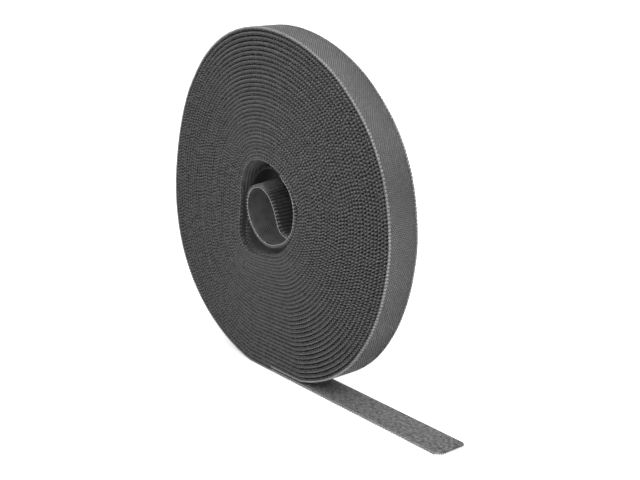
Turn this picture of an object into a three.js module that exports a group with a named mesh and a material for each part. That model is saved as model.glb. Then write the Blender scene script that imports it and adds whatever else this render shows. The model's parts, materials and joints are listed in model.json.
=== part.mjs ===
// A roll of hook and loop tape: two webs bonded back to back, wound on themselves with no reel.
// Millimetres, +Z up, +Y along the roll's axis. The visible face looks along -Y, the tail runs to +X.
// The origin is on the floor, straight below the middle of the roll's axis.
// The tape is followed outwards: inner end, loose inner turn, coil, the flat that it stands on, tail.
import * as THREE from "three";

// Sizes of the tape
const tapeWidth = 15;
const hookThickness = 0.7;
const loopThickness = 0.7;
const bondGap = 0.3; // between the two webs
const cutGap = 0.3; // between two lengths of one web

// Sizes of the roll
const rollRadius = 78.6; // at the outer end of the wound tape
const flattening = 3; // the roll is flattened where it stands
const holeRadius = 19;
const leastTurnGap = 0.55; // between two turns of the tape
const stepsPerTurn = 22;
const coilStartStep = 10; // where the loose turn leaves the coil, in steps round from the bottom

// Sizes of the loose ends
const tailReach = 105.8; // from the roll's axis to the tip
const tailPieces = 4; // they flex against each other
const nearCornerRadius = 3.2; // the tip's corner at the visible face
const farCornerRadius = 1.6;
const cornerSteps = 5;
const looseSteps = 34; // along the tape inside the hole
const innerEndSteps = 5; // of those, the ones beyond the flex

// The rim isn't quite round. Each lobe rises by a share of the roll's radius, and peaks at an angle
// in degrees round from the bottom towards the tail.
const rimLobes = [
  { count: 1, riseShare: 0.009, peakAt: 90 },
  { count: 2, riseShare: 0.005, peakAt: -20 },
  { count: 3, riseShare: 0.01, peakAt: 76 },
  { count: 4, riseShare: 0.01, peakAt: 29 },
];

// The hole has two soft corners. Each rises by a share of the hole's radius, over a spread in degrees.
const holeCorners = [
  { riseShare: 0.42, peakAt: -47, spread: 26 },
  { riseShare: 0.16, peakAt: -140, spread: 32 },
];

// The tape's hook face inside the hole, from the coil to the springy inner end, as shares of the hole's
// radius from the axis
const looseShares = [
  [0.42, 0.87], [0.68, 0.77], [0.88, 0.54], [0.94, 0.14], [0.87, -0.24], [0.72, -0.51], [0.46, -0.72],
  [0.1, -0.83], [-0.26, -0.81], [-0.54, -0.67], [-0.77, -0.45], [-0.88, -0.14], [-0.86, 0.12],
  [-0.7, 0.33], [-0.44, 0.42], [-0.2, 0.4], [0, 0.28], [0.14, 0.1], [0.22, -0.1], [0.3, -0.28],
  [0.41, -0.4], [0.55, -0.43],
];

// The finishes of the two webs
const hookFinish = new THREE.MeshStandardMaterial({ color: 0x4a4c4d, roughness: 0.6, metalness: 0 });
const loopFinish = new THREE.MeshStandardMaterial({ color: 0x3a3b3c, roughness: 0.95, metalness: 0 });

const tapeThickness = hookThickness + bondGap + loopThickness;
const axisHeight = rollRadius - flattening;

// Where each web lies in the tape, measured in from the tape's hook face
const webs = [
  { name: "hook", near: 0, far: hookThickness, finish: hookFinish },
  { name: "loop", near: hookThickness + bondGap, far: tapeThickness, finish: loopFinish },
];

// A point on the roll, at an angle round from the bottom towards the tail
function onRoll(radius, angle) {
  return new THREE.Vector2(radius * Math.sin(angle), axisHeight - radius * Math.cos(angle));
}

// The rim's radius, with its lobes and with the flat that the roll stands on
function rimRadius(angle) {
  let share = 1;
  for (const lobe of rimLobes) {
    const fromPeak = angle - THREE.MathUtils.degToRad(lobe.peakAt);
    share += lobe.riseShare * Math.cos(lobe.count * fromPeak);
  }
  const down = Math.cos(angle);
  return down > 0 ? Math.min(rollRadius * share, axisHeight / down) : rollRadius * share;
}

// The hole's radius, with its soft corners
function holeEdge(angle) {
  let share = 1;
  for (const corner of holeCorners) {
    const turn = angle - THREE.MathUtils.degToRad(corner.peakAt);
    const fromPeak = THREE.MathUtils.radToDeg(Math.atan2(Math.sin(turn), Math.cos(turn)));
    share += corner.riseShare * Math.exp(-((fromPeak / corner.spread) ** 2));
  }
  return holeRadius * share;
}

// The coil is a spiral of flat facets. One facet of each turn faces straight down, and the tape's
// standing flat follows the coil's last facet in the outermost turn's place for it.
const angleOfStep = (step) => ((step + coilStartStep + 1 / 2) * 2 * Math.PI) / stepsPerTurn;

// As many turns as fit where the roll is thinnest
let leastDepth = rollRadius;
for (let step = 0; step < stepsPerTurn; step += 1) {
  const angle = angleOfStep(step);
  leastDepth = Math.min(leastDepth, rimRadius(angle) - holeEdge(angle));
}
const wholeTurns = Math.floor((leastDepth - tapeThickness) / (tapeThickness + leastTurnGap));
const coilSteps = (wholeTurns + 1) * stepsPerTurn - coilStartStep - 1;

// The radius of the tape's hook face. It opens out evenly from the hole's shape to the rim's shape.
function coilRadius(step) {
  const angle = angleOfStep(step);
  return THREE.MathUtils.lerp(holeEdge(angle) + tapeThickness, rimRadius(angle), step / coilSteps);
}

// The coil's line at a depth in from the tape's hook face
function coilLine(depth) {
  const points = [];
  for (let step = 0; step <= coilSteps; step += 1) {
    points.push(onRoll(coilRadius(step) - depth, angleOfStep(step)));
  }
  return points;
}

// A line beside another: each point moves square to the direction of its neighbours
function beside(line, depth) {
  return line.map((point, i) => {
    const before = line[Math.max(i - 1, 0)];
    const after = line[Math.min(i + 1, line.length - 1)];
    const along = after.clone().sub(before).normalize();
    return new THREE.Vector2(point.x + along.y * depth, point.y - along.x * depth);
  });
}

// A strip as wide as the tape, between two lines in the XZ plane
function strip(lineA, lineB) {
  const position = [];
  const index = [];
  const quad = (a, b, c, d) => index.push(a, b, c, a, c, d);
  const half = tapeWidth / 2;
  lineA.forEach((a, i) => {
    const b = lineB[i];
    position.push(a.x, -half, a.y, a.x, half, a.y, b.x, half, b.y, b.x, -half, b.y);
  });
  for (let i = 0; i + 1 < lineA.length; i += 1) {
    for (let side = 0; side < 4; side += 1) {
      const here = 4 * i + side;
      const next = 4 * i + ((side + 1) % 4);
      quad(here, next, next + 4, here + 4);
    }
  }
  const last = 4 * (lineA.length - 1);
  quad(0, 3, 2, 1);
  quad(last, last + 1, last + 2, last + 3);
  const geometry = new THREE.BufferGeometry();
  geometry.setAttribute("position", new THREE.Float32BufferAttribute(position, 3));
  geometry.setIndex(index);
  geometry.computeVertexNormals();
  return geometry;
}

const roll = new THREE.Group();

function addMesh(name, geometry, finish) {
  const mesh = new THREE.Mesh(geometry, finish);
  mesh.name = name;
  roll.add(mesh);
}

for (const web of webs) {
  addMesh(`${web.name}_coil`, strip(coilLine(web.near), coilLine(web.far)), web.finish);
}

// Inside the hole the tape follows one smooth line, cut across where the inner end flexes. Each cut is
// made along the tape, so the two faces at it stay parallel.
const fromAxis = ([across, up]) => new THREE.Vector2(holeRadius * across, axisHeight + holeRadius * up);
const coilEnd = coilLine(0)[0];
const looseCurve = new THREE.SplineCurve([coilEnd, ...looseShares.map(fromAxis)]);
const looseLine = looseCurve.getSpacedPoints(looseSteps);
const flexStep = looseSteps - innerEndSteps;

function cutAlong(before, after) {
  return after.clone().sub(before).setLength(cutGap);
}

function looseTurnLine(depth) {
  const [start, next] = coilLine(depth);
  const line = beside(looseLine, depth).slice(0, flexStep + 1);
  line[0] = start.add(cutAlong(next, start));
  return line;
}

function innerEndLine(depth) {
  const line = beside(looseLine, depth).slice(flexStep);
  line[0].add(cutAlong(looseLine[flexStep - 1], looseLine[flexStep + 1]));
  return line;
}

for (const web of webs) {
  const { name, near, far, finish } = web;
  addMesh(`${name}_loose_turn`, strip(looseTurnLine(far), looseTurnLine(near)), finish);
  addMesh(`${name}_inner_end`, strip(innerEndLine(far), innerEndLine(near)), finish);
}

// The flat that the roll stands on is as far to one side of the axis as to the other. It starts at the
// coil's last facet, cut along the tape like the lengths in the hole.
const flatEnd = -coilLine(0).at(-1).x;

function flatLine(depth) {
  const start = coilLine(depth).at(-1).x + cutGap;
  return [new THREE.Vector2(start, depth), new THREE.Vector2(flatEnd, depth)];
}

for (const web of webs) {
  addMesh(`${web.name}_standing_flat`, strip(flatLine(web.near), flatLine(web.far)), web.finish);
}

// The tail lies flat on the floor, and its tip has two rounded corners
const pieceLength = (tailReach - flatEnd) / tailPieces;

function tailOutline(start, end, nearCorner, farCorner) {
  const half = tapeWidth / 2;
  const outline = new THREE.Shape();
  outline.moveTo(start, half);
  outline.lineTo(start, -half);
  outline.lineTo(end - nearCorner, -half);
  if (nearCorner > 0) outline.absarc(end - nearCorner, nearCorner - half, nearCorner, -Math.PI / 2, 0);
  outline.lineTo(end, half - farCorner);
  if (farCorner > 0) outline.absarc(end - farCorner, half - farCorner, farCorner, 0, Math.PI / 2);
  return outline;
}

for (let number = 1; number <= tailPieces; number += 1) {
  const start = flatEnd + (number - 1) * pieceLength + cutGap;
  const end = flatEnd + number * pieceLength;
  const corners = number === tailPieces ? [nearCornerRadius, farCornerRadius] : [0, 0];
  for (const web of webs) {
    const options = { depth: web.far - web.near, bevelEnabled: false, curveSegments: cornerSteps };
    const geometry = new THREE.ExtrudeGeometry(tailOutline(start, end, ...corners), options);
    geometry.translate(0, 0, web.near);
    addMesh(`${web.name}_tail_${number}`, geometry, web.finish);
  }
}

// The least gaps of the tape to itself, measured from its points to the facets beside them
function distance(point, line) {
  let least = Infinity;
  for (let i = 0; i + 1 < line.length; i += 1) {
    const along = line[i + 1].clone().sub(line[i]);
    const from = point.clone().sub(line[i]);
    const share = THREE.MathUtils.clamp(from.dot(along) / along.lengthSq(), 0, 1);
    least = Math.min(least, from.addScaledVector(along, -share).length());
  }
  return least;
}

const hookFace = coilLine(0);
const loopFace = coilLine(tapeThickness);
const turnGaps = loopFace.slice(stepsPerTurn).map((point, step) => {
  const facets = hookFace.slice(Math.max(step - 1, 0), step + 2);
  return distance(point, facets);
});
const firstTurns = loopFace.slice(stepsPerTurn / 2, 2 * stepsPerTurn);
const looseGaps = looseTurnLine(0).slice(1).map((point) => distance(point, firstTurns));
const endFaces = [...innerEndLine(0).slice(1), ...innerEndLine(tapeThickness).slice(1)];
const looseFace = looseTurnLine(tapeThickness).slice(0, -2);
const endGaps = endFaces.map((point) => distance(point, looseFace));
const least = (gaps) => Math.min(...gaps).toFixed(2);
console.log(`${wholeTurns + 1} turns with the loose one`);
console.log(`Least gap between the coil's turns ${least(turnGaps)} mm`);
console.log(`Least gap from the loose turn to the coil ${least(looseGaps)} mm`);
console.log(`Least gap from the inner end to the loose turn ${least(endGaps)} mm`);

export default roll;
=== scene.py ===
# %% [markdown]
# This lesson dresses a roll of hook and loop tape. The real thing is one long nylon tape with two
# faces: short stiff hooks on one side, soft loops on the other. It is wound on itself with no reel.
# A imported model already gives every part its place and size, and Blender only adds the looks, so the
# first step loads that frame, and can tell the box that each part fills.

# %% Load the frame
import json
import math

import bpy
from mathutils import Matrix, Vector

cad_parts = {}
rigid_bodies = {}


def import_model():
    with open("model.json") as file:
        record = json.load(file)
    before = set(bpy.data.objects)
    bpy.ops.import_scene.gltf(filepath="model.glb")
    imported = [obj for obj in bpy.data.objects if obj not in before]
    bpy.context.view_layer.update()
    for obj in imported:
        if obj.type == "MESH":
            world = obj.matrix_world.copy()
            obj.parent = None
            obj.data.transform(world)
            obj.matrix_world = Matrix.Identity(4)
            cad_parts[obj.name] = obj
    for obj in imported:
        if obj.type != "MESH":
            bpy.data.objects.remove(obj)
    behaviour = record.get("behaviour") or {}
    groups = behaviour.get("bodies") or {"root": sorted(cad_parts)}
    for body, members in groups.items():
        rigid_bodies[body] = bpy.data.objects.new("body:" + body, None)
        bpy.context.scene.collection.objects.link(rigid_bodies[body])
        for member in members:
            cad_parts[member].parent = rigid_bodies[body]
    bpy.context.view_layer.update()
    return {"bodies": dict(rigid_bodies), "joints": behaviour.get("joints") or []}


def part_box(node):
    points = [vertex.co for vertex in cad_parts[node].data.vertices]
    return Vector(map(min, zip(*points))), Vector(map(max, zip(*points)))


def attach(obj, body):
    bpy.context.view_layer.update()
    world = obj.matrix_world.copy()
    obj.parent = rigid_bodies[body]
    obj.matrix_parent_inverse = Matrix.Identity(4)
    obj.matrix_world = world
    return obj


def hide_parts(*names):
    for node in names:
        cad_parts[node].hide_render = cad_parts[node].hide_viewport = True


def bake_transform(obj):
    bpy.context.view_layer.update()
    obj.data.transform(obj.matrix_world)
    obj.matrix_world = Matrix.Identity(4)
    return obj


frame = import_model()
scene = bpy.context.scene
MM = 0.001
hinges = {joint["child"]: joint for joint in frame["joints"]}

# %% [markdown]
# The camera comes first. It stands to the right of the roll and a little above it, so both the wound
# side and the rim show. Its lens is long, as for a product picture. A camera in Blender looks down its
# own -Z axis, so it is tipped up by a right angle less its dip, and then turned about Z.

# %% Camera
camera_place = Vector((0.3739, -0.2813, 0.1965))
camera_turn = math.radians(51.06)
camera_dip = math.radians(16.18)
camera_lens = 61.9
camera = bpy.data.objects.new("camera", bpy.data.cameras.new("camera"))
camera.data.lens = camera_lens
camera.data.clip_start = 0.01
camera.location = camera_place
camera.rotation_euler = (math.pi / 2 - camera_dip, 0, camera_turn)
scene.collection.objects.link(camera)
scene.camera = camera
print("camera is", round(camera_place.length, 3), "m from the roll's foot")

# %% [markdown]
# The tape's own sizes, in millimetres. Through its thickness it has four layers, measured from the tips
# of its hooks: the hooks, the cloth that carries them, the cloth that carries the loops, and the nap of
# the loops. At the tape's edges the hooks and the loops stand in two rows of teeth, each with a pitch of
# its own, and the cloth between them lies a little deeper.

# %% Sizes of the tape
tape_width = 15.0
hook_height = 0.75
hook_cloth = 0.25
loop_cloth = 0.25
nap_height = 0.45
tape_thickness = hook_height + hook_cloth + loop_cloth + nap_height
cloth_width = 14.4
hook_pitch = 1.53
loop_pitch = 1.93
print("the tape is", round(tape_thickness, 2), "mm thick")

# %% [markdown]
# The roll's own sizes. Its tape has been wound by hand, so neither the rim nor the hole is a true circle.
# Each lobe lifts the rim by a share of its radius, and each corner lifts the hole in the same way. All
# angles go round from the bottom towards the loose tail.

# %% Sizes of the roll
roll_radius = 78.9
axis_height = 75.6
hole_radius = 19.0
turns = 32.5
first_angle = -2 * math.pi * turns
tightness = 0.16
rim_lobes = [(1, 0.0046, 99), (2, 0.002, -36), (3, 0.0121, 70), (4, 0.013, 30)]
hole_corners = [(0.42, -47, 26), (0.16, -140, 32), (-0.13, 58, 40), (-0.08, 155, 34)]
print("turns:", turns)

# %% [markdown]
# Node trees are how Blender writes down a rule. Wiring dozens of nodes by hand is hard to read, so this
# helper lets a tree be written as plain sums: adding or multiplying two fields adds a Math node. The
# functions beside it add any other node. They take its settings first, in small letters, and then what
# goes into its inputs, each by the input's own name. Each node goes in the tree that is in hand, which is
# the one that was begun last.

# %% Helpers for node trees
in_hand = {}


def put(value, slot):
    """Links a field to an input, or writes a plain value in it."""
    if isinstance(value, Field):
        slot.id_data.links.new(value.socket, slot)
    else:
        slot.default_value = value


def fill(node, **values):
    """Fills a node. A name in small letters is a setting, any other one is the name of an input."""
    for name, value in values.items():
        if name.islower():
            setattr(node, name, value)
        else:
            wanted = name.replace("_", " ")
            put(value, next(s for s in node.inputs if s.enabled and s.name == wanted))
    return node


def add(kind, **values):
    """Adds a node to the tree in hand and fills it."""
    return fill(in_hand["tree"].nodes.new(kind), **values)


class Field:
    """The output of a node. Sums of fields become Math nodes."""

    def __init__(self, node, name=None):
        outputs = [s for s in node.outputs if s.enabled]
        self.socket = outputs[0] if name is None else next(s for s in outputs if s.name == name)

    def math(self, operation, *others):
        node = add("ShaderNodeMath", operation=operation)
        for value, slot in zip((self, *others), node.inputs):
            put(value, slot)
        return Field(node)

    def __add__(self, other):
        return self.math("ADD", other)

    def __sub__(self, other):
        return self.math("SUBTRACT", other)

    def __mul__(self, other):
        return self.math("MULTIPLY", other)

    def __truediv__(self, other):
        return self.math("DIVIDE", other)


def make(kind, output=None, **values):
    """Adds a node and gives its output as a field."""
    return Field(add(kind, **values), output)


def new_tree(name, **inputs):
    """Begins a Geometry Nodes tree. The first value of each of its inputs also gives its type."""
    kinds = {float: "Float", int: "Int", type(None): "Material"}
    tree = bpy.data.node_groups.new(name, "GeometryNodeTree")
    tree.interface.new_socket("Geometry", in_out="INPUT", socket_type="NodeSocketGeometry")
    for label, value in inputs.items():
        socket = tree.interface.new_socket(
            label.replace("_", " "), in_out="INPUT", socket_type="NodeSocket" + kinds[type(value)]
        )
        if value is not None:
            socket.default_value = value
    tree.interface.new_socket("Geometry", in_out="OUTPUT", socket_type="NodeSocketGeometry")
    in_hand["tree"] = tree
    start = add("NodeGroupInput")
    return {s.name: Field(start, s.name) for s in start.outputs if s.name}


def end_tree(geometry, material=None):
    """Ends a tree: real meshes in place of copies, and their material."""
    real = make("GeometryNodeRealizeInstances", Geometry=geometry)
    if material is not None:
        real = make("GeometryNodeSetMaterial", Geometry=real, Material=material)
    put(real, add("NodeGroupOutput").inputs[0])
    return in_hand["tree"]


def grow(name, start, tree, **values):
    """Runs a tree on a copy of a mesh, and keeps what it makes as a plain mesh at the origin."""
    piece = bpy.data.objects.new(name, start.copy())
    scene.collection.objects.link(piece)
    modifier = piece.modifiers.new("grow", "NODES")
    modifier.node_group = tree
    for item in tree.interface.items_tree:
        label = item.name.replace(" ", "_")
        if item.in_out == "INPUT" and label in values:
            modifier[item.identifier] = values[label]
    evaluated = piece.evaluated_get(bpy.context.evaluated_depsgraph_get())
    mesh = bpy.data.meshes.new_from_object(evaluated)
    mesh.name = name
    piece.modifiers.clear()
    piece.data = mesh
    return piece


def triangles(piece):
    """How many triangles a piece has."""
    return sum(len(face.vertices) - 2 for face in piece.data.polygons)


# %% [markdown]
# A few steps come back in every tree below, so each has a short name here: writing a number on the points
# of a shape and reading it again, moving a shape, sweeping an outline along a path, drawing by lot from a
# fixed seed, and putting copies of a small shape on many spots.

# %% Helpers for shapes
def vector(**parts):
    """A vector from its X, Y and Z. A part that is left out is 0."""
    return make("ShaderNodeCombineXYZ", **parts)


def own_place():
    """The X, Y and Z of each point."""
    split = add("ShaderNodeSeparateXYZ", Vector=make("GeometryNodeInputPosition"))
    return [Field(split, axis) for axis in "XYZ"]


def store(shape, name, value, kind="FLOAT"):
    """Writes a field on the points of a shape."""
    return make(
        "GeometryNodeStoreNamedAttribute", data_type=kind, domain="POINT", Geometry=shape,
        Name=name, Value=value,
    )


def stored(name, kind="FLOAT"):
    """Reads what was written on the points."""
    return make("GeometryNodeInputNamedAttribute", "Attribute", data_type=kind, Name=name)


def move(shape, offset):
    """Moves each point of a shape by an offset."""
    return make("GeometryNodeSetPosition", Geometry=shape, Offset=offset)


def scaled(direction, length):
    """A direction times a length."""
    return make("ShaderNodeVectorMath", operation="SCALE", Vector=direction, Scale=length)


def without(spots, chosen):
    """The points that are left when the chosen ones are deleted."""
    return make("GeometryNodeDeleteGeometry", domain="POINT", Geometry=spots, Selection=chosen)


def ring(sides, thickness):
    """The round outline of a thread, as a polygon of some sides. Its thickness is in millimetres."""
    return make(
        "GeometryNodeCurvePrimitiveCircle", mode="RADIUS", Resolution=sides, Radius=thickness * (MM / 2)
    )


def bent_thread(steps, *corners):
    """A Bezier curve through two ends and two handles, each given by its X and Z."""
    names = ("Start", "Start_Handle", "End_Handle", "End")
    spots = {name: vector(X=x, Z=z) for name, (x, z) in zip(names, corners)}
    return make("GeometryNodeCurvePrimitiveBezierSegment", mode="POSITION", Resolution=steps, **spots)


def swept(path, outline, **extra):
    """An outline swept along a path, with closed ends and a smooth face."""
    body = make("GeometryNodeCurveToMesh", Curve=path, Profile_Curve=outline, Fill_Caps=True, **extra)
    return make("GeometryNodeSetShadeSmooth", Geometry=body)


def chance(least, most, seed, kind="FLOAT"):
    """A value drawn by lot for each point, the same in every run."""
    return make("FunctionNodeRandomValue", data_type=kind, Min=least, Max=most, Seed=seed)


def facing(direction):
    """A rotation that turns X to a direction, about the roll's axis."""
    return make("FunctionNodeAlignRotationToVector", axis="X", pivot_axis="Y", Vector=direction)


def rotated(rotation, further):
    """A rotation, and then a further one in its own axes."""
    kind = "FunctionNodeRotateRotation"
    return make(kind, rotation_space="LOCAL", Rotation=rotation, Rotate_By=further)


def turned_by(rotation, wobble, seed):
    """Turns each copy a little further by lot, to either side."""
    least = tuple(-angle for angle in wobble)
    return rotated(rotation, chance(least, wobble, seed, "FLOAT_VECTOR"))


def copies(spots, shape, rotation, size):
    """A copy of a shape on each spot."""
    return make(
        "GeometryNodeInstanceOnPoints", Points=spots, Instance=shape, Rotation=rotation, Scale=size
    )


# %% [markdown]
# The wound tape follows a rule: each turn lies one pitch outside the last, while its shape changes
# evenly from that of the hole to that of the rim. Such a rule suits Geometry Nodes better than a list
# of points. The tree makes a line with one point a few millimetres after the other, works out each
# point's angle and radius from its number, and puts it there. The rim can't go below the floor, so it
# takes the smaller of its own radius and the distance to the floor, blended softly. The turns are wound
# a little tighter near the hole. A slow noise shifts them along the axis, as on a real roll, and the
# first turn starts out slid back into the roll and comes forward again.

# %% The rule of the wound line
def lobed(angle, radius, lobes):
    """A radius with smooth lobes round it."""
    share = angle * 0 + 1
    for count, rise, peak in lobes:
        share = share + ((angle - math.radians(peak)) * count).math("COSINE") * rise
    return radius * share


def cornered(angle, radius, corners):
    """A radius with soft corners. Each corner fades on both sides of its peak."""
    share = angle * 0 + 1
    for rise, peak, spread in corners:
        turn = (angle - math.radians(peak)).math("WRAP", math.pi, -math.pi)
        away = (turn / math.radians(spread)).math("POWER", 2)
        share = share + (away * -1).math("EXPONENT") * rise
    return radius * share


first_turn = 0.25
slide_fades_in = 0.19
lowest_cosine = 0.3
floor_softness = 0.8
wander_scale = 0.03
wander_step = 12.0
wander_fade = 2


def wound_line_tree():
    given = new_tree(
        "wound line", From_turn=0.0, To_turn=turns, Steps=100, Roll_radius=roll_radius,
        Axis_height=axis_height, Hole_radius=hole_radius, Side_shift=0.0, First_turn_shift=0.0,
    )
    points = given["Steps"] + 1
    line = make("GeometryNodeMeshLine", mode="OFFSET", Count=points)
    number = make("GeometryNodeInputIndex")
    turn = given["From turn"] + (given["To turn"] - given["From turn"]) * (number / given["Steps"])
    angle = turn * (2 * math.pi) + first_angle
    rim = lobed(angle, given["Roll radius"], rim_lobes)
    down = angle.math("COSINE")
    floor_radius = given["Axis height"] / down.math("MAXIMUM", lowest_cosine)
    rim = rim.math("SMOOTH_MIN", floor_radius, floor_softness)
    hole = cornered(angle, given["Hole radius"], hole_corners) + tape_thickness
    share = turn / turns
    radius = hole + (rim - hole) * (share * (1 - tightness) + share * share * tightness)
    across = radius * angle.math("SINE")
    up = given["Axis height"] - radius * down
    place = vector(X=across, Y=turn * wander_step, Z=up)
    wander = make("ShaderNodeTexNoise", Vector=place, Scale=wander_scale)
    ends = (turn * wander_fade).math("MINIMUM", (turn * -wander_fade) + wander_fade * turns)
    ends = ends.math("MINIMUM", 1.0)
    slide = ((turn - first_turn) / slide_fades_in).math("POWER", 2) * -1
    shift = (wander - 0.5) * given["Side shift"] * ends
    shift = shift + slide.math("EXPONENT") * given["First turn shift"]
    spot = vector(X=across * MM, Y=shift * MM, Z=up * MM)
    moved = make("GeometryNodeSetPosition", Geometry=line, Position=spot)
    return end_tree(moved)


line_tree = wound_line_tree()
steps_in_turn = 88
side_shift = 1.5
first_turn_shift = 4.2
blank = bpy.data.meshes.new("blank")


def wound_line(start, end):
    """The tape's line on the roll, from one turn to another."""
    steps = round((end - start) * steps_in_turn)
    piece = grow(
        "wound line", blank, line_tree, From_turn=start, To_turn=end, Steps=steps,
        Side_shift=side_shift, First_turn_shift=first_turn_shift,
    )
    line = piece.data
    bpy.data.objects.remove(piece)
    return line


half_way = 20.0
right_side = 0.8
high_wall_run = 0.55
hole_edge_run = 0.65
wound = {
    "inner": wound_line(first_turn, half_way),
    "outer": wound_line(half_way, turns - 1),
    "last": wound_line(turns - 1, turns),
    "low wall": wound_line(first_turn, right_side),
    "high wall": wound_line(right_side, right_side + high_wall_run),
    "hole edge": wound_line(right_side, right_side + hole_edge_run),
}
for name, line in wound.items():
    print("the", name, "line has", len(line.vertices), "points")

# %% [markdown]
# Inside the hole the tape has sprung loose and follows no rule, so its line is drawn: a few points
# along the middle of its cloth, given in millimetres from the axis, and a smooth curve through them. Its
# third stretch also slides back into the roll, so it has a third number for that. The curve is a
# Catmull-Rom spline, which passes through each of its points. It is then moved out to the tips of the
# hooks, from where the depths of the layers are measured.

# %% Drawn lines
inner_end_drawn = [
    (11.8, -9.8), (9.8, -9.3), (7.6, -8.1), (6.1, -6.2), (4.9, -3.4), (3.7, -0.5), (2.2, 2.6), (0, 5.5),
    (-3, 7.8),
]
loose_turn_drawn = [
    (-6.4, 8.9), (-9.6, 8.7), (-12.8, 7.4), (-15.4, 4.8), (-16.7, 1.2), (-16.7, -2.6), (-15.4, -6.8),
    (-12.6, -10.8), (-8.6, -14), (-4, -15.8), (0.6, -16), (5.2, -14.8), (9.4, -13), (13, -10),
    (15.9, -6), (17.1, -1), (17.1, 4), (15.6, 8.9), (13, 12.6), (9.8, 15.2),
]
slid_back_drawn = [
    (6.2, 16.5, 1.0), (1.5, 16.6, 3.2), (-3.2, 16.6, 5.2), (-8.2, 16.2, 6.3), (-13.6, 14.8, 6.5),
    (-17.5, 11.6, 6.0), (-20, 6.4, 5.0),
]


def smooth_through(points, steps):
    """Points of a smooth curve through the given ones, with some steps between each two."""
    found = []
    last = len(points) - 1
    for i in range(last):
        before, a, b, after = (points[max(0, min(last, i + k))] for k in (-1, 0, 1, 2))
        for step in range(steps):
            t = step / steps
            pull_a, pull_b = (b - before) / 2, (after - a) / 2
            ease = t * t * (3 - 2 * t)
            found.append(a + (b - a) * ease + pull_a * t * (1 - t) ** 2 - pull_b * t * t * (1 - t))
    return [*found, points[last]]


def line_mesh(name, points):
    """A mesh that is only a line of points."""
    mesh = bpy.data.meshes.new(name)
    mesh.from_pydata(points, [(i, i + 1) for i in range(len(points) - 1)], [])
    return mesh


def moved_out(points, distance):
    """The same line, moved sideways towards the tips of the hooks."""
    found = []
    for i, point in enumerate(points):
        heading = points[min(i + 1, len(points) - 1)] - points[max(i - 1, 0)]
        found.append(point + heading.cross(Vector((0, -1, 0))).normalized() * distance)
    return found


def from_axis(across, up, back=0.0):
    """A place given in millimetres from the roll's axis."""
    return Vector((across, back, axis_height + up)) * MM


first_points = (0, 6)
coil_points = [wound["inner"].vertices[i].co.copy() for i in first_points]
cloth_middle = hook_height + hook_cloth
coil_points = moved_out(coil_points, -cloth_middle * MM)
drawn = [from_axis(*spot) for spot in [*inner_end_drawn, *loose_turn_drawn, *slid_back_drawn]]
steps_between = 7
hand_line = smooth_through([*drawn, *coil_points], steps_between)[:-steps_between]
hand_line = moved_out(hand_line, cloth_middle * MM)
hinge_place = Vector(hinges["inner_end"]["pos_m"])
nearest = min(range(len(hand_line)), key=lambda i: (hand_line[i] - hinge_place).length)
overlap_points = 8
inner_end_line = line_mesh("inner end line", hand_line[:nearest + overlap_points + 1])
slid_start = steps_between * (len(inner_end_drawn) + len(loose_turn_drawn))
loose_line = line_mesh("loose line", hand_line[nearest + overlap_points:slid_start + 1])
slid_line = line_mesh("slid line", hand_line[slid_start:])
print("inner end has", len(inner_end_line.vertices), "points")

# %% [markdown]
# The tail lies straight on the floor. It flexes at four places, and a piece can bend over only one of
# them, so it is four pieces that meet halfway between two hinges. The points lie closer at the tip,
# where the corners are rounded.

# %% Lines of the tail
tail_bodies = [name for name in frame["bodies"] if name.startswith("tail_")]
hinge_x = [hinges[name]["pos_m"][0] for name in tail_bodies]
tip_fringe = 1.2 * MM
tip_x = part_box("hook_" + tail_bodies[-1])[1].x + tip_fringe
halfway = [(a + b) / 2 for a, b in zip(hinge_x, hinge_x[1:])]
tail_cuts = [0.0, *halfway, tip_x]
near_corner = 4.2
far_corner = 2.0
tail_step = 0.8 * MM
corner_steps = 10


def tail_line(start, end):
    """A straight line on the floor, with its last steps drawn closer together."""
    corner = near_corner * MM if end == tip_x else 0
    count = math.ceil((end - corner - start) / tail_step)
    straight = [start + (end - corner - start) * i / count for i in range(count)]
    round_off = [
        end - corner + corner * math.sin(math.pi / 2 * i / corner_steps) for i in range(corner_steps + 1)
    ]
    places = [*straight, *(round_off if corner else [end])]
    return line_mesh("tail line", [Vector((x, 0, 0)) for x in places])


tail_lines = [tail_line(a, b) for a, b in zip(tail_cuts, tail_cuts[1:])]
print("tail is cut at", [round(x / MM, 1) for x in tail_cuts], "mm")

# %% [markdown]
# The materials. The hooks are bare nylon thread, grey and a little glossy. Their open hooks on the rim
# and the tail get a lighter copy of that thread, a painted highlight, lighter still towards the front
# edge and crossed by slow bands of painted shade where the tape bends. The cloth below them is the same
# nylon in a fine weave, and looks darker because it lies in their shade; where it lies open on the rim
# and the tail it is painted lighter, as painted light. The loop side is napped, so it is dull and
# mottled; on the open tail its nap and cloth are painted lighter, as painted light from above. In the
# hole, down the low wall and on the turn that has slid back, the nap and the cloth are painted darker
# still, as painted shade, and so are the teeth of that turn and the ribs and cloth of the inner end's
# hook side. The wall of the hole, from its right side over the top, has its nap and cloth painted
# lighter instead, the cloth more so towards its top, as painted light. A firm light thread binds each
# edge.
# Each material mixes a dark and a light tone by noise on Object coordinates. The cloths read the
# position along the tape from an attribute that the sweeps below write, so the weave follows the tape
# round the roll. A number that is the same all over, such as the gloss or the sheen, is set on the
# shader itself.

# %% Materials
def new_material(name):
    """A new material and its shader. Its tree is then in hand."""
    material = bpy.data.materials.new(name)
    material.use_nodes = True
    in_hand["tree"] = material.node_tree
    return material, material.node_tree.nodes["Principled BSDF"]


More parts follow.
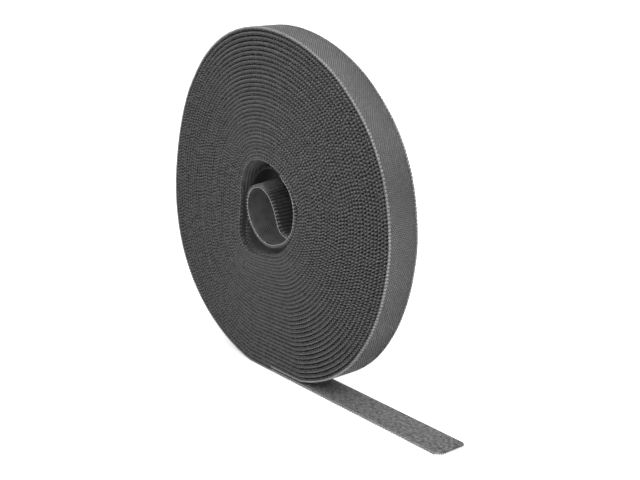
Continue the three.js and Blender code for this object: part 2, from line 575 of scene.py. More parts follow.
def tape_coordinates():
    """Where a point lies along and across the tape and above the floor, in millimetres, and its place."""
    along = make("ShaderNodeAttribute", "Fac", attribute_name="along") * (1 / MM)
    place = make("ShaderNodeTexCoord", "Object")
    split = add("ShaderNodeSeparateXYZ", Vector=place)
    across = Field(split, "Y") * (1 / MM)
    height = Field(split, "Z") * (1 / MM)
    return along, across, height, place


def mixed_colour(share, tones):
    """A grey between a dark and a light tone, almost neutral but a trace cool."""
    dark, light = ((tone, tone, tone * cool_share, 1) for tone in tones)
    return make("ShaderNodeMix", data_type="RGBA", Factor=share, A=dark, B=light)


def noise(place, scale, detail=3.0):
    """A soft random pattern between 0 and 1. A larger scale makes it finer."""
    return make("ShaderNodeTexNoise", "Fac", Vector=place, Scale=scale, Detail=detail)


relief_strength = 0.7
cool_share = 1.005
strand_scale = 3000.0
strand_share = 0.5
strand_relief = 0.05
thread_sheen_roughness = 0.4
painted_bend_scale = 45.0
weave_relief = 0.08
cloth_sheen_roughness = 0.5
# hole_top is where the wall's painted light is even: above it the cloth is painted lighter, below it
# darker.
hole_rise = 16.0
hole_top = axis_height + hole_rise


def relief(pattern, depth):
    """Lets a pattern raise the surface by a small depth, in millimetres."""
    return make("ShaderNodeBump", Strength=relief_strength, Distance=depth * MM, Height=pattern)


def make_threads(
    name, tones, patches, roughness=0.6, sheen=0.2, contrast=2.0, gloss=0.5, painted_front_highlight=0.0, painted_bend_shading=0.0
):
    """Loose thread between a dark and a light tone: each hook or loop differs a little from the next.
    It can be painted lighter towards the front edge, a painted highlight, and crossed by slow bands of
    painted shade.
    """
    material, shader = new_material(name)
    _, across, _, place = tape_coordinates()
    strands = noise(place, strand_scale, 2.0)
    share = (noise(place, patches) - 0.5) * contrast + (strands - 0.5) * strand_share + 0.5
    # Painted highlight: the colour grows lighter towards the tape's front edge.
    share = share - across * (painted_front_highlight / tape_width)
    # Painted shade and light: slow bands, as from the bends of the tape.
    share = share + (noise(place, painted_bend_scale, 0.0) - 0.5) * painted_bend_shading
    fill(
        shader, Base_Color=mixed_colour(share, tones), Roughness=roughness,
        Specular_IOR_Level=gloss, Sheen_Weight=sheen, Sheen_Roughness=thread_sheen_roughness,
        Normal=relief(strands, strand_relief),
    )
    return material


def make_cloth(
    name, tones, pitches=(0.42, 0.5), roughness=0.9, sheen=0.15, gloss=0.5, weave_share=0.4, fade=0.0,
    patches=300.0, contrast=0.6,
):
    """Woven ground: warp and weft cross in small bumps, with uneven patches in their dye. A fade paints
    it lighter the higher it lies, as painted light.
    """
    material, shader = new_material(name)
    along, across, height, place = tape_coordinates()
    warp = (across * (2 * math.pi / pitches[0])).math("SINE")
    weft = (along * (2 * math.pi / pitches[1])).math("SINE")
    weave = (warp * weft) * 0.5 + 0.5
    share = (weave - 0.5) * weave_share + (noise(place, patches) - 0.5) * contrast + 0.5
    # Painted light: lighter the higher it lies over the top of the hole.
    share = share + (height - hole_top) * fade
    fill(
        shader, Base_Color=mixed_colour(share, tones), Roughness=roughness,
        Specular_IOR_Level=gloss, Sheen_Weight=sheen, Sheen_Roughness=cloth_sheen_roughness,
        Normal=relief(weave, weave_relief),
    )
    return material


hook_thread = make_threads("hook_thread", (0.065, 0.22), 420.0, 0.5, contrast=1.1)
# A lighter copy of hook_thread for the open hooks on the rim and the tail: a painted highlight.
hook_tips = make_threads(
    "hook_tips", (0.16, 0.36), 700.0, 0.4, 0.3, contrast=1.6, painted_front_highlight=0.5, painted_bend_shading=1.2
)
rib_thread = make_threads("rib_thread", (0.05, 0.19), 420.0, sheen=0.1, gloss=0.3)
# A darker copy of rib_thread for the inner end and the turn that has slid back: painted shade.
shaded_rib_thread = make_threads("shaded_rib_thread", (0.015, 0.075), 420.0, sheen=0.1, gloss=0.2)
loop_thread = make_threads("loop_thread", (0.02, 0.145), 650.0, 0.8, contrast=3.0)
# The tail's nap, painted lighter for the light from above: painted light.
open_nap = make_threads("open_nap", (0.14, 0.46), 700.0, 0.85, 0.35, contrast=4.0)
# A lighter nap for the high wall of the hole: painted light.
wall_nap = make_threads("wall_nap", (0.2, 0.46), 620.0, 0.85, contrast=2.4)
inner_nap = make_threads("inner_nap", (0.05, 0.16), 900.0, 0.85, contrast=2.8)
# Nearly black nap for the deep hole: painted shade.
matted_nap = make_threads("matted_nap", (0.008, 0.03), 620.0, 0.9, sheen=0.0, gloss=0.0)
edge_thread = make_threads("edge_thread", (0.24, 0.52), 500.0, 0.5, 0.3)
# The rim's edge thread is painted lighter towards the front: a painted highlight.
rim_edge_thread = make_threads("rim_edge_thread", (0.13, 0.38), 500.0, 0.5, painted_front_highlight=0.7)
hole_thread = make_threads("hole_thread", (0.08, 0.24), 500.0, sheen=0.1)
hook_ground = make_cloth("hook_ground", (0.03, 0.07), roughness=0.6, sheen=0.1)
# A darker copy of hook_ground for the inner end: painted shade.
shaded_hook_ground = make_cloth("shaded_hook_ground", (0.02, 0.05), roughness=0.7, sheen=0.1, gloss=0.2)
# A lighter copy of hook_ground for the open rim and tail: painted light.
open_hook_ground = make_cloth("open_hook_ground", (0.07, 0.16), roughness=0.6, sheen=0.1)
loop_ground = make_cloth("loop_ground", (0.03, 0.065), (0.5, 0.6))
# The wall's cloth, painted lighter towards the top: painted light.
wall_ground = make_cloth("wall_ground", (0.03, 0.2), (1.7, 200.0), weave_share=0.5, fade=0.035)
# Dark loop cloth for the turn that has slid back: painted shade.
matted_ground = make_cloth(
    "matted_ground", (0.025, 0.06), (0.5, 0.6), roughness=1.0, sheen=0.0, gloss=0.0
)
# The tail's loop cloth, painted lighter in the same way: painted light.
open_loop_ground = make_cloth(
    "open_loop_ground", (0.04, 0.22), (1.0, 0.8), weave_share=0.2, patches=700.0, contrast=2.4
)
inner_loop_ground = make_cloth(
    "inner_loop_ground", (0.01, 0.1), (1.3, 1.2), sheen=0.1, weave_share=0.9, patches=200.0,
    contrast=1.0,
)
print("materials:", ", ".join(sorted(m.name for m in bpy.data.materials if m.users)))

# %% [markdown]
# A cloth of the tape is a thin band that follows its line. Curve to Mesh sweeps a small rounded
# rectangle along the line. The curve's normal is fixed to the roll's axis, so the rectangle never
# twists: its X is across the tape, and its Y is the depth in from the tips of the hooks. At the tip
# each corner is rounded by pulling the band's sides in along an arc.

# %% The swept cloth
def curve_along(line):
    """The line as a curve whose normal is the roll's axis, with its length written on it."""
    curve = make("GeometryNodeMeshToCurve", Mesh=line)
    curve = make("GeometryNodeSetCurveNormal", mode="FREE", Curve=curve, Normal=(0, 1, 0))
    length = make("GeometryNodeSplineParameter", "Length")
    whole = make("GeometryNodeSplineLength", "Length")
    return store(store(curve, "along", length), "to_tip", whole - length)


def side_limit(half, corner):
    """How far out the tape's side is, at each point's distance from the tip."""
    inside = corner - stored("to_tip").math("MINIMUM", corner)
    rise = (corner * corner - inside * inside).math("MAXIMUM", 0.0).math("SQRT")
    return half - corner + rise


def side_limits(given, half, margin=0.0, least_corner=0.0):
    """The lowest and the highest place across the tape, a margin inside its rounded corners."""
    near, far = (given[f"{side} corner"] * MM + least_corner for side in ("Near", "Far"))
    return side_limit(half, near) * -1 + margin, side_limit(half, far) - margin


def cloth_tree():
    given = new_tree(
        "swept cloth", Width=cloth_width, Near=0.0, Far=1.0, Rounding=0.08, **corner_inputs
    )
    near, far = given["Near"], given["Far"]
    outline = make(
        "GeometryNodeCurvePrimitiveQuadrilateral", mode="RECTANGLE",
        Width=given["Width"] * MM, Height=(far - near) * MM,
    )
    outline = move(outline, vector(Y=(near + far) * (MM / 2)))
    outline = make(
        "GeometryNodeFilletCurve", mode="POLY", Curve=outline, Count=rounding_steps,
        Radius=given["Rounding"] * MM,
    )
    band = swept(curve_along(given["Geometry"]), outline)
    across, side, up = own_place()
    low, high = side_limits(given, given["Width"] * (MM / 2))
    has_corners = (given["Near corner"] + given["Far corner"]).math("GREATER_THAN", 0.0)
    held = side.math("MAXIMUM", low).math("MINIMUM", high)
    spot = vector(X=across, Y=side + (held - side) * has_corners, Z=up)
    band = make("GeometryNodeSetPosition", Geometry=band, Position=spot)
    return end_tree(band, given["Material"])


rounding_steps = 2
smallest_corner = 1e-6
layers = {
    "hook": (hook_height, cloth_middle, hook_ground),
    "loop": (cloth_middle, cloth_middle + loop_cloth, loop_ground),
}
corner_inputs = {"Near_corner": 0.0, "Far_corner": 0.0, "Material": None}
cloth = cloth_tree()


def cloth_piece(stretch, side, line, width=cloth_width, material=None, **corners):
    """The cloth of the hooks or of the loops, on a stretch of tape."""
    near, far, usual = layers[side]
    return grow(
        f"{stretch}_{side}_cloth", line, cloth, Width=width, Near=near, Far=far,
        Material=material or usual, **corners,
    )


print("cloth tree has", len(cloth.nodes), "nodes")

# %% [markdown]
# The hooks stand in rows across the tape. Placing thousands by hand is out of the question, so a tree
# does it: it walks along the line in steps of one row, lays a short row of points at each step, shifts
# every other row by half a step, and puts one small bent thread on each point. The bend is given from
# the root to the tip, in shares of the hook's reach and of its height. Each thread is turned and scaled
# a little at random, because real hooks never stand quite alike. Each draw has a fixed seed of its own,
# the piece's seed plus a small number. No hook stands outside the rounded corners of the tip.

# %% The rows of hooks
side_margin = 0.1
bare_tip_share = 0.15
hook_bend = ((-0.5, 1.05), (-1.0, -0.15), (1.2, -0.2), (1.0, 0.5))
hook_wobble = (0.16, 0.12, 0.5)
smallest_hook = 0.86
hook_steps = 3


def even_steps(line, step):
    """The line as a curve with its points an even step apart."""
    curve = curve_along(line)
    return make("GeometryNodeResampleCurve", mode="LENGTH", Curve=curve, Length=step)


def stations_along(line, step):
    """Points an even step apart along the line, each with its heading written on it."""
    heading = make("GeometryNodeInputTangent")
    return store(even_steps(line, step), "heading", heading, "FLOAT_VECTOR")


def hook_tree():
    given = new_tree(
        "rows of hooks", Row_pitch=hook_pitch / 2, Rows=14, Spacing=1.0, First=0.0,
        Height=hook_height, Reach=0.3, Thickness=0.24, Sides=3, Stagger=0.5, Seed=1, **corner_inputs,
    )
    stations = stations_along(given["Geometry"], given["Row pitch"] * MM)
    odd = make("GeometryNodeInputIndex").math("MODULO", 2.0)
    stations = store(stations, "odd", odd)
    row = make(
        "GeometryNodeMeshLine", mode="OFFSET", Count=given["Rows"],
        Start_Location=vector(Y=given["First"] * MM), Offset=vector(Y=given["Spacing"] * MM),
    )
    spots = make("GeometryNodeInstanceOnPoints", Points=stations, Instance=row)
    spots = make("GeometryNodeRealizeInstances", Geometry=spots)
    shove = stored("odd") * given["Stagger"] * given["Spacing"] * MM
    spots = move(spots, vector(Y=shove))
    half = given["Near corner"] * 0 + tape_width * MM / 2
    low, high = side_limits(given, half, side_margin * MM, smallest_corner)
    side = own_place()[1]
    near_tip = stored("to_tip").math("LESS_THAN", given["Near corner"] * (bare_tip_share * MM))
    outside = side.math("LESS_THAN", low) + side.math("GREATER_THAN", high) + near_tip
    spots = without(spots, outside.math("GREATER_THAN", 0.0))
    rise = given["Height"] * MM
    reach = given["Reach"] * MM
    thread = bent_thread(hook_steps, *((reach * x, rise * z) for x, z in hook_bend))
    hook = swept(thread, ring(given["Sides"], given["Thickness"]))
    turned = facing(stored("heading", "FLOAT_VECTOR"))
    turned = turned_by(turned, hook_wobble, given["Seed"])
    size = chance(smallest_hook, 1.0, given["Seed"] + 7)
    size = vector(X=size, Y=size, Z=1.0)
    return end_tree(copies(spots, hook, turned, size), given["Material"])


hook_rows = hook_tree()
print("hook tree has", len(hook_rows.nodes), "nodes")

# %% [markdown]
# Along both edges of the tape the last hooks and loops stand close together and look like teeth. These
# are what the eye reads on the wound side of the roll, so each gets its own bar: an outline with five or
# six sides, which leans over for the hooks, swept a few millimetres in from the edge, with its outer end
# narrowed to a rounded tip. The rows of a stretched tape are never quite even, so a slow noise moves them
# to and fro along it.

# %% The teeth of an edge
drift_per_metre = 30.0
drift_fade = 100
tip_without_teeth = 0.7
narrowest_tip = 0.55
path_points = 3
root_depth = 0.15
tooth_wobble = (0.03, 0.14, 0.05)
smallest_tooth = (0.8, 0.92, 0.9)
largest_tooth = (1.08, 1.0, 1.0)


def tooth_path(given):
    """A path of three points across the tape, and a width that narrows at its outer end."""
    path = make("GeometryNodeCurvePrimitiveLine", mode="POINTS", Start=(0, 0, 0), End=(0, MM, 0))
    path = make("GeometryNodeResampleCurve", mode="COUNT", Curve=path, Count=path_points)
    number = make("GeometryNodeInputIndex")
    last = path_points - 1
    step = number + given["Back"] * ((number * -2) + last)
    inner = given["Length"] - given["Tip"] * last
    reach = step * given["Tip"] + step.math("GREATER_THAN", last - 0.5) * inner
    reach = reach + given["Back"] * (given["Length"] - reach * 2)
    path = make("GeometryNodeSetPosition", Geometry=path, Position=vector(Y=reach * MM))
    path = make("GeometryNodeSetCurveNormal", mode="FREE", Curve=path, Normal=(1, 0, 0))
    return path, (step + narrowest_tip).math("MINIMUM", 1.0)


def tooth_outline(given):
    """A many-sided outline that leans over."""
    outline = make(
        "GeometryNodeCurvePrimitiveCircle", mode="RADIUS", Resolution=given["Sides"], Radius=1.0
    )
    across, up, _ = own_place()
    side = across * given["Breadth"] * (MM / 2)
    high = (given["Far"] - given["Near"]) * (MM / 2)
    spot = vector(X=side + up * given["Lean"] * MM, Y=up * high)
    return make("GeometryNodeSetPosition", Geometry=outline, Position=spot)


def teeth_tree():
    given = new_tree(
        "teeth of an edge", Pitch=hook_pitch, Near=0.0, Far=1.0, Breadth=0.84, Lean=0.12, Length=2.4,
        Tip=0.28, Back=0.0, Unevenness=0.9, Corner=0.0, Sides=6, Seed=1, Material=None,
    )
    spots = stations_along(given["Geometry"], given["Pitch"] * MM)
    along = stored("along")
    left = stored("to_tip")
    direction = stored("heading", "FLOAT_VECTOR")
    drift = make(
        "ShaderNodeTexNoise", noise_dimensions="1D",
        W=along * drift_per_metre + given["Seed"], Scale=1.0,
    )
    ends = (along * drift_fade).math("MINIMUM", left * drift_fade).math("MINIMUM", 1.0)
    drift = (drift - 0.5) * given["Unevenness"] * ends * (2 * MM)
    spots = move(spots, scaled(direction, drift))
    edge = (given["Back"] * 2 - 1) * (tape_width * (MM / 2)) - given["Back"] * given["Length"] * MM
    spots = move(spots, vector(Y=edge))
    spots = without(spots, left.math("LESS_THAN", given["Corner"] * (tip_without_teeth * MM)))
    path, narrow = tooth_path(given)
    tooth = swept(path, tooth_outline(given), Scale=narrow)
    tooth = move(tooth, vector(Z=(given["Near"] + given["Far"]) * (MM / 2)))
    turned = turned_by(facing(direction), tooth_wobble, given["Seed"])
    size = chance(smallest_tooth, largest_tooth, given["Seed"] + 4, "FLOAT_VECTOR")
    return end_tree(copies(spots, tooth, turned, size), given["Material"])


teeth = teeth_tree()
hook_teeth = {"Material": hook_thread}
# The short teeth on the rim and the tail take the painted highlight.
short_teeth = {"Material": hook_tips, "Length": 0.8, "Tip": 0.1, "Breadth": 1.15}
loop_teeth = {
    "Material": loop_thread, "Pitch": loop_pitch, "Near": tape_thickness - nap_height - root_depth,
    "Far": tape_thickness, "Breadth": 1.05, "Lean": 0.0, "Length": 1.8, "Sides": 5,
}
print("teeth tree has", len(teeth.nodes), "nodes")

# %% [markdown]
# A firm thread binds each edge of the tape. It shows as a thin light line of beads wherever the tape's
# edge lies open. It is a round thread swept beside the line, and the Scale input of Curve to Mesh makes
# it swell and narrow along its way.

# %% The edge thread
thread_side = 7.3
points_in_bead = 5
thread_sides = 5


def edge_thread_tree():
    given = new_tree(
        "edge thread", Side=thread_side, Depth=0.95, Thickness=0.42, Bead_pitch=loop_pitch, Swell=0.6,
        **corner_inputs,
    )
    curve = even_steps(given["Geometry"], given["Bead pitch"] * (MM / points_in_bead))
    inwards = add("ShaderNodeVectorMath", operation="CROSS_PRODUCT")
    put(make("GeometryNodeInputTangent"), inwards.inputs[0])
    put((0, 1, 0), inwards.inputs[1])
    curve = move(curve, scaled(Field(inwards), given["Depth"] * MM))
    half = given["Side"] * 0 + tape_width * (MM / 2)
    margin = half - given["Side"].math("ABSOLUTE") * MM
    low, high = side_limits(given, half, margin, smallest_corner)
    side = (given["Side"] * MM).math("MAXIMUM", low).math("MINIMUM", high)
    curve = move(curve, vector(Y=side))
    wave = (stored("along") * (2 * math.pi / MM) / given["Bead pitch"]).math("SINE")
    thread = swept(curve, ring(thread_sides, given["Thickness"]), Scale=wave * given["Swell"] + 1)
    return end_tree(thread, given["Material"])


bound_edge = edge_thread_tree()


def edge_threads(name, line, material=edge_thread, **extra):
    """The threads that bind the front edge and the back edge of a stretch of tape."""
    return [
        grow(f"{name}_{side}", line, bound_edge, Side=place, Material=material, **extra)
        for side, place in (("front", -thread_side), ("back", thread_side))
    ]


print("edge thread tree has", len(bound_edge.nodes), "nodes")

# %% [markdown]
# The nap is made of soft loops that stand on the cloth without any order. Here the tree sweeps an open
# strip at the cloth's face, scatters points on it, and puts a small arch of thread on each, turned at
# random. Only where the loop side can be seen does the tape get its nap.

# %% The nap of loops
nap_margin = 0.15
loop_root = -0.03 * MM
loop_foot = 0.6
loop_bulge = 1.5
loop_steps = 4
loop_sides = 3
loop_rise_share = 1.15
smallest_loop = 0.6
least_tumble = (-0.5, -0.5, 0.0)
most_tumble = (0.5, 0.5, 2 * math.pi)


def nap_tree():
    given = new_tree(
        "nap of loops", Width=tape_width - 2 * nap_margin, Depth=cloth_middle + loop_cloth,
        Density=2.6, Height=nap_height, Span=0.5, Thickness=0.1, Seed=1, **corner_inputs,
    )
    half = given["Width"] * (MM / 2)
    depth = given["Depth"] * MM
    slat = make(
        "GeometryNodeCurvePrimitiveLine", mode="POINTS",
        Start=vector(X=half * -1, Y=depth), End=vector(X=half, Y=depth),
    )
    curve = curve_along(given["Geometry"])
    strip = make("GeometryNodeCurveToMesh", Curve=curve, Profile_Curve=slat)
    scatter = add(
        "GeometryNodeDistributePointsOnFaces", distribute_method="RANDOM", Mesh=strip,
        Density=given["Density"] * (1 / MM ** 2), Seed=given["Seed"],
    )
    side = own_place()[1]
    low, high = side_limits(given, half, 0.0, smallest_corner)
    outside = side.math("LESS_THAN", low) + side.math("GREATER_THAN", high)
    spots = without(Field(scatter, "Points"), outside.math("GREATER_THAN", 0.0))
    span = given["Span"] * (MM / 2)
    rise = given["Height"] * (MM * loop_rise_share)
    thread = bent_thread(
        loop_steps, (span * -loop_foot, loop_root), (span * -loop_bulge, rise),
        (span * loop_bulge, rise), (span * loop_foot, loop_root),
    )
    arch = swept(thread, ring(loop_sides, given["Thickness"]))
    tumble = chance(least_tumble, most_tumble, given["Seed"] + 3, "FLOAT_VECTOR")
    turned = rotated(Field(scatter, "Rotation"), tumble)
    size = chance(smallest_loop, 1.0, given["Seed"] + 5)
    return end_tree(copies(spots, arch, turned, size), given["Material"])


nap = nap_tree()
print("nap tree has", len(nap.nodes), "nodes")

# %% [markdown]
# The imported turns. Of these only the edges show, so they get their two cloths, and the teeth of hooks
# and loops along each edge. The many rows between are hidden, and one plain core stands for them, which
# also keeps light from shining through the roll. It reaches out as far as the next turn, across the gap
# that is wider in the outer turns. They are made in two lots, so that no piece is huge.

# %% Packed turns
core_width = 8.0
thin_rounding = 0.05
core_reach = {"inner": 0.6, "outer": 1.0}
overlap = 0.02


def settle(slot_name, pieces, *nodes):
    """Puts finished pieces on the roll, and hides the imported nodes that they take the place of, if
    there are any.
    """
    for piece in pieces:
        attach(piece, "roll")
        print(piece.name, triangles(piece), "triangles")
    if nodes:
        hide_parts(*nodes)


def join(name, parts):
    """Joins meshes that belong together into one piece."""
    with bpy.context.temp_override(
        active_object=parts[0], selected_editable_objects=parts, object=parts[0],
        selected_objects=parts,
    ):
        bpy.ops.object.join()
    parts[0].name = name
    return parts[0]


def edge_teeth(name, line, kind, seed, corners=(0.0, 0.0)):
    """The teeth along the front edge and the back edge of a stretch of tape."""
    return [
        grow(f"{name}_{edge}", line, teeth, Seed=seed + draw, Back=back, Corner=corner, **kind)
        for edge, draw, back, corner in zip(("front", "back"), (0, 9), (0.0, 1.0), corners)
    ]


for number, (lot, reach) in enumerate(core_reach.items()):
    name, line = f"{lot}_turns", wound[lot]
    hook_side = cloth_piece(name, "hook", line)
    loop_side = cloth_piece(name, "loop", line)
    core = grow(
        f"{name}_core", line, cloth, Width=core_width, Near=-reach, Far=hook_height + overlap,
        Rounding=thin_rounding, Material=hook_ground,
    )
    hooks = edge_teeth(f"{name}_hook_teeth", line, hook_teeth, 10 + number)
    loops = join(f"{name}_loop_teeth", edge_teeth(f"{name}_loop_teeth", line, loop_teeth, 30 + number))
    settle("hook_web", [hook_side, core, *hooks], "hook_coil")
    settle("loop_web", [loop_side, loops], "loop_coil")

# %% [markdown]
# The outermost turn shows its whole hook side on the rim, so here every row of hooks is there. This
# turn ends flat on the floor below the axis, where the tail goes on.

# %% Outermost turn
columns = 15
rib_columns = 28
field_margin = 0.3
field_width = tape_width - 2 * field_margin
field_start = field_margin - tape_width / 2
# The field of hooks on the rim takes the painted highlight.
field_hooks = {
    "Rows": columns, "Spacing": field_width / (columns - 0.5), "First": field_start,
    "Thickness": 0.3, "Material": hook_tips,
}
rib_hooks = {
    "Row_pitch": hook_pitch, "Rows": rib_columns, "Spacing": field_width / (rib_columns - 1),
    "First": field_start, "Stagger": 0.0, "Thickness": 0.42, "Reach": 0.4, "Material": rib_thread,
}
open_width = 14.9
last_line = wound["last"]
# The rim's hook cloth is painted lighter: painted light.
last_hook = cloth_piece("outermost_turn", "hook", last_line, open_width, open_hook_ground)
last_loop = cloth_piece("outermost_turn", "loop", last_line)
last_field = grow("outermost_turn_hooks", last_line, hook_rows, Seed=20, **field_hooks)
last_hook_teeth = join("outermost_turn_hook_teeth", [
    *edge_teeth("outermost_hook_teeth", last_line, short_teeth, 21),
    *edge_threads(
        "outermost_edge_threads", last_line, rim_edge_thread, Depth=0.3, Thickness=0.32, Swell=0.6,
        Bead_pitch=hook_pitch,
    ),
])
last_loop_teeth = join(
    "outermost_turn_loop_teeth", edge_teeth("outermost_loop_teeth", last_line, loop_teeth, 22)
)
settle("hook_web", [last_hook, last_field, last_hook_teeth], "hook_standing_flat")
settle("loop_web", [last_loop, last_loop_teeth], "loop_standing_flat")

# %% [markdown]
# In the hole the loop side of the first turn shows, and so do both sides of the loose turn. Seen along
# the tape its hooks stand in plain ribs across it, so here the rows aren't shifted. The loose turn isn't
# square to the roll: at the top its back edge lies higher than its front edge. A tilt that fades out
# round that place does this, and moves every layer alike. The wall of the hole is the loop side of the
# first packed turns. Down to the bottom its nap is painted dark, as painted shade. From the right side
# over the top its nap and cloth are painted lighter, the cloth more so towards the top, as painted light,
# and a thread marks its front edge. The turn that has slid back lies behind it, with its loop side and
# its teeth painted dark, as painted shade.

# %% Loose turn and the wall of the hole
lift_at_back = 1.8 * MM
lift_place = Vector((-0.006, 0, 0.0841))
lift_spread = 8 * MM


def lift_back(piece):
    """Tilts the top of the loose turn, so that its back edge lies higher."""
    for vertex in piece.data.vertices:
        away = vertex.co - lift_place
        near = math.exp(-(away.x ** 2 + away.z ** 2) / (2 * lift_spread ** 2))
        vertex.co.z += lift_at_back * (away.y / (tape_width * MM) + 0.5) * near


comb_teeth = {"Material": hook_thread, "Length": 1.4, "Far": 1.4, "Breadth": 0.8}
thin_thread = {"Thickness": 0.28, "Depth": 1.25, "Swell": 0.5}
sparse_nap = {"Material": inner_nap, "Density": 0.9, "Height": 0.35}
wall_depth = 1.2
wall_skin = 0.12
# The low wall's nap is painted dark: painted shade.
low_wall = grow("low_wall_nap", wound["low wall"], nap, Seed=30, Material=matted_nap)
# The high wall's nap and cloth are painted lighter: painted light.
high_wall = join("high_wall", [
    grow("high_wall_nap", wound["high wall"], nap, Seed=37, Material=wall_nap),
    grow(
        "high_wall_cloth", wound["high wall"], cloth, Near=wall_depth, Far=wall_depth + wall_skin,
        Rounding=thin_rounding, Material=wall_ground,
    ),
])
hole_edge = grow(
    "hole_edge_thread", wound["hole edge"], bound_edge, Side=-thread_side, Depth=1.3,
    Thickness=0.36, Material=hole_thread,
)
settle("loop_web", [low_wall, high_wall, hole_edge])
loose_width = 13.6
loose_hook = cloth_piece("loose_turn", "hook", loose_line, loose_width)
loose_loop = cloth_piece("loose_turn", "loop", loose_line, loose_width, inner_loop_ground)
loose_hooks = join("loose_turn_hooks", [
    grow("loose_field", loose_line, hook_rows, Seed=31, **rib_hooks),
    *edge_teeth("loose_turn_teeth", loose_line, comb_teeth, 32),
    *edge_threads("loose_edge_threads", loose_line, **thin_thread),
])
loose_nap = grow("loose_turn_nap", loose_line, nap, Seed=33, **sparse_nap)
for piece in (loose_hook, loose_loop, loose_hooks, loose_nap):
    lift_back(piece)
settle("hook_web", [loose_hook, loose_hooks], "hook_loose_turn")
settle("loop_web", [loose_loop, loose_nap], "loop_loose_turn")
slid_hook = cloth_piece("slid_turn", "hook", slid_line, open_width)
# The slid turn's loop cloth is painted dark: painted shade.
slid_loop = cloth_piece("slid_turn", "loop", slid_line, open_width, matted_ground)
slid_hooks = join("slid_turn_hooks", [
    grow("slid_field", slid_line, hook_rows, Seed=36, **rib_hooks),
    # The teeth of the turn that has slid back are painted dark: painted shade.
    *edge_teeth(
        "slid_turn_teeth", slid_line, {**hook_teeth, "Far": 1.3, "Material": shaded_rib_thread}, 34
    ),
])
# The slid turn's nap is painted dark: painted shade.
slid_nap = grow("slid_turn_nap", slid_line, nap, Seed=35, Material=matted_nap, Density=3.4)
settle("hook_web", [slid_hook, slid_hooks], "hook_coil")
settle("loop_web", [slid_loop, slid_nap], "loop_coil")

# %% [markdown]
# The inner end springs, and the tail flexes. Each of their pieces crosses one joint. One function makes
# the four layers of such a stretch, joins them into a hook side and a loop side, and hides the imported
# parts that they take the place of.

# %% Stretches that bend
def bending_stretch(
    name, line, seed, corners, hooks, edge, thread, loops, grounds
):
    """The hook side and the loop side of a stretch of tape that bends over one joint."""
    ends = tuple(corners.values()) or (0, 0)
    sides = {
        "hook": [
            cloth_piece(name, "hook", line, open_width, grounds[0], **corners),
            grow(f"{name}_hooks", line, hook_rows, Seed=seed, **hooks, **corners),
            *edge_teeth(f"{name}_teeth", line, edge, seed + 2, ends),
            *edge_threads(f"{name}_edge_threads", line, **thread, **corners),
        ],
        "loop": [
            cloth_piece(name, "loop", line, loop_width, grounds[1], **corners),
            grow(f"{name}_nap", line, nap, Seed=seed + 1, **loops, **corners),
        ],
    }
    for side, parts in sides.items():
        piece = join(f"{name}_{side}_side", parts)
        lift_back(piece)
        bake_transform(piece)
        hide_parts(f"{side}_{name}")
        print(piece.name, triangles(piece), "triangles")


loop_width = 14.5
# The tail's nap and loop cloth are painted lighter: painted light.
tail_nap = {"Material": open_nap, "Density": 3.4, "Width": 13.2, "Height": 0.35}
tip_corners = {"Near_corner": near_corner, "Far_corner": far_corner}
bending_stretch(
    "inner_end", inner_end_line, 40, {},
    # The inner end's ribs and hook cloth are painted dark: painted shade.
    {**rib_hooks, "Material": shaded_rib_thread}, comb_teeth, thin_thread, sparse_nap,
    (shaded_hook_ground, inner_loop_ground),
)
for number, (name, line) in enumerate(zip(tail_bodies, tail_lines)):
    bending_stretch(
        name, line, 50 + 2 * number,
        tip_corners if name == tail_bodies[-1] else {}, field_hooks, short_teeth,
        {"Thickness": 0.3, "Swell": 0.3}, tail_nap, (open_hook_ground, open_loop_ground),
    )

# %% [markdown]
# The studio is plain: a pale floor and a pale sky that is brighter overhead than at its edge, as in a
# photographer's tent. One wide soft sun stands above and a weaker one to the right, which lights the rim,
# and a faint soft box in front lights the wound side. To the camera the sky is plain white. The floor
# adds a little light of its own to what the camera sees, so it meets the sky without a line and still
# takes a light shadow.

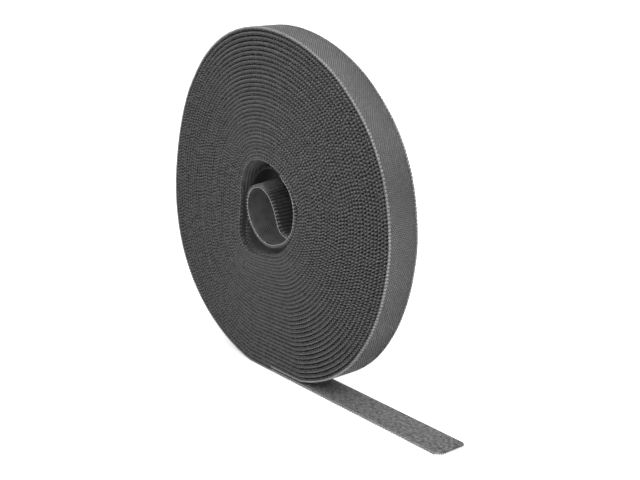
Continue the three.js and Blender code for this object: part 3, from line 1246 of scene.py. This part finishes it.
# %% Floor, sky and lamps
floor_size = 6.0
floor_tone = 0.8
floor_glow = 0.6
edge_light = 0.22
top_light = 0.95
sun_breadth = math.radians(60)
suns = {
    "sun": {"energy": 0.85, "tip_back": 12, "tip_right": 26},
    "side_light": {"energy": 0.5, "tip_back": 6, "tip_right": 78},
}
soft_box_energy = 0.8
soft_box_size = 0.3
soft_box_place = (0.3, -0.35, 0.45)
white = (1, 1, 1, 1)

floor_mesh = bpy.data.meshes.new("floor")
corner = floor_size / 2
floor_mesh.from_pydata(
    [(-corner, -corner, 0), (corner, -corner, 0), (corner, corner, 0), (-corner, corner, 0)],
    [], [(0, 1, 2, 3)],
)
floor = bpy.data.objects.new("floor", floor_mesh)
scene.collection.objects.link(floor)
floor_paint, floor_shader = new_material("floor")
seen = make("ShaderNodeLightPath", "Is Camera Ray")
fill(
    floor_shader, Base_Color=(floor_tone, floor_tone, floor_tone, 1), Roughness=1.0,
    Specular_IOR_Level=0.0, Emission_Color=white, Emission_Strength=seen * floor_glow,
)
floor.data.materials.append(floor_paint)

sky = bpy.data.worlds.new("sky")
scene.world = sky
sky.use_nodes = True
in_hand["tree"] = sky.node_tree
seen = make("ShaderNodeLightPath", "Is Camera Ray")
direction = make("ShaderNodeTexCoord", "Generated")
height = Field(add("ShaderNodeSeparateXYZ", Vector=direction), "Z")
light = height.math("MAXIMUM", 0.0) * (top_light - edge_light) + edge_light
brightness = light + seen * ((light * -1) + 1)
fill(sky.node_tree.nodes["Background"], Strength=brightness, Color=white)


def add_lamp(name, kind, energy):
    """Adds a lamp to the scene."""
    lamp = bpy.data.objects.new(name, bpy.data.lights.new(name, kind))
    lamp.data.energy = energy
    scene.collection.objects.link(lamp)
    return lamp


for name, values in suns.items():
    sun = add_lamp(name, "SUN", values["energy"])
    sun.data.angle = sun_breadth
    sun.rotation_euler = (math.radians(values["tip_back"]), math.radians(values["tip_right"]), 0)
soft_box = add_lamp("soft_box", "AREA", soft_box_energy)
soft_box.data.size = soft_box_size
soft_box.location = soft_box_place
roll_middle = Vector((0, 0, axis_height * MM))
soft_box.rotation_euler = (soft_box.location - roll_middle).to_track_quat("Z", "Y").to_euler()
soft_box.visible_camera = False
scene.view_settings.view_transform = "Standard"
print("sky from", edge_light, "to", top_light, "and", len(bpy.data.lights), "lamps")
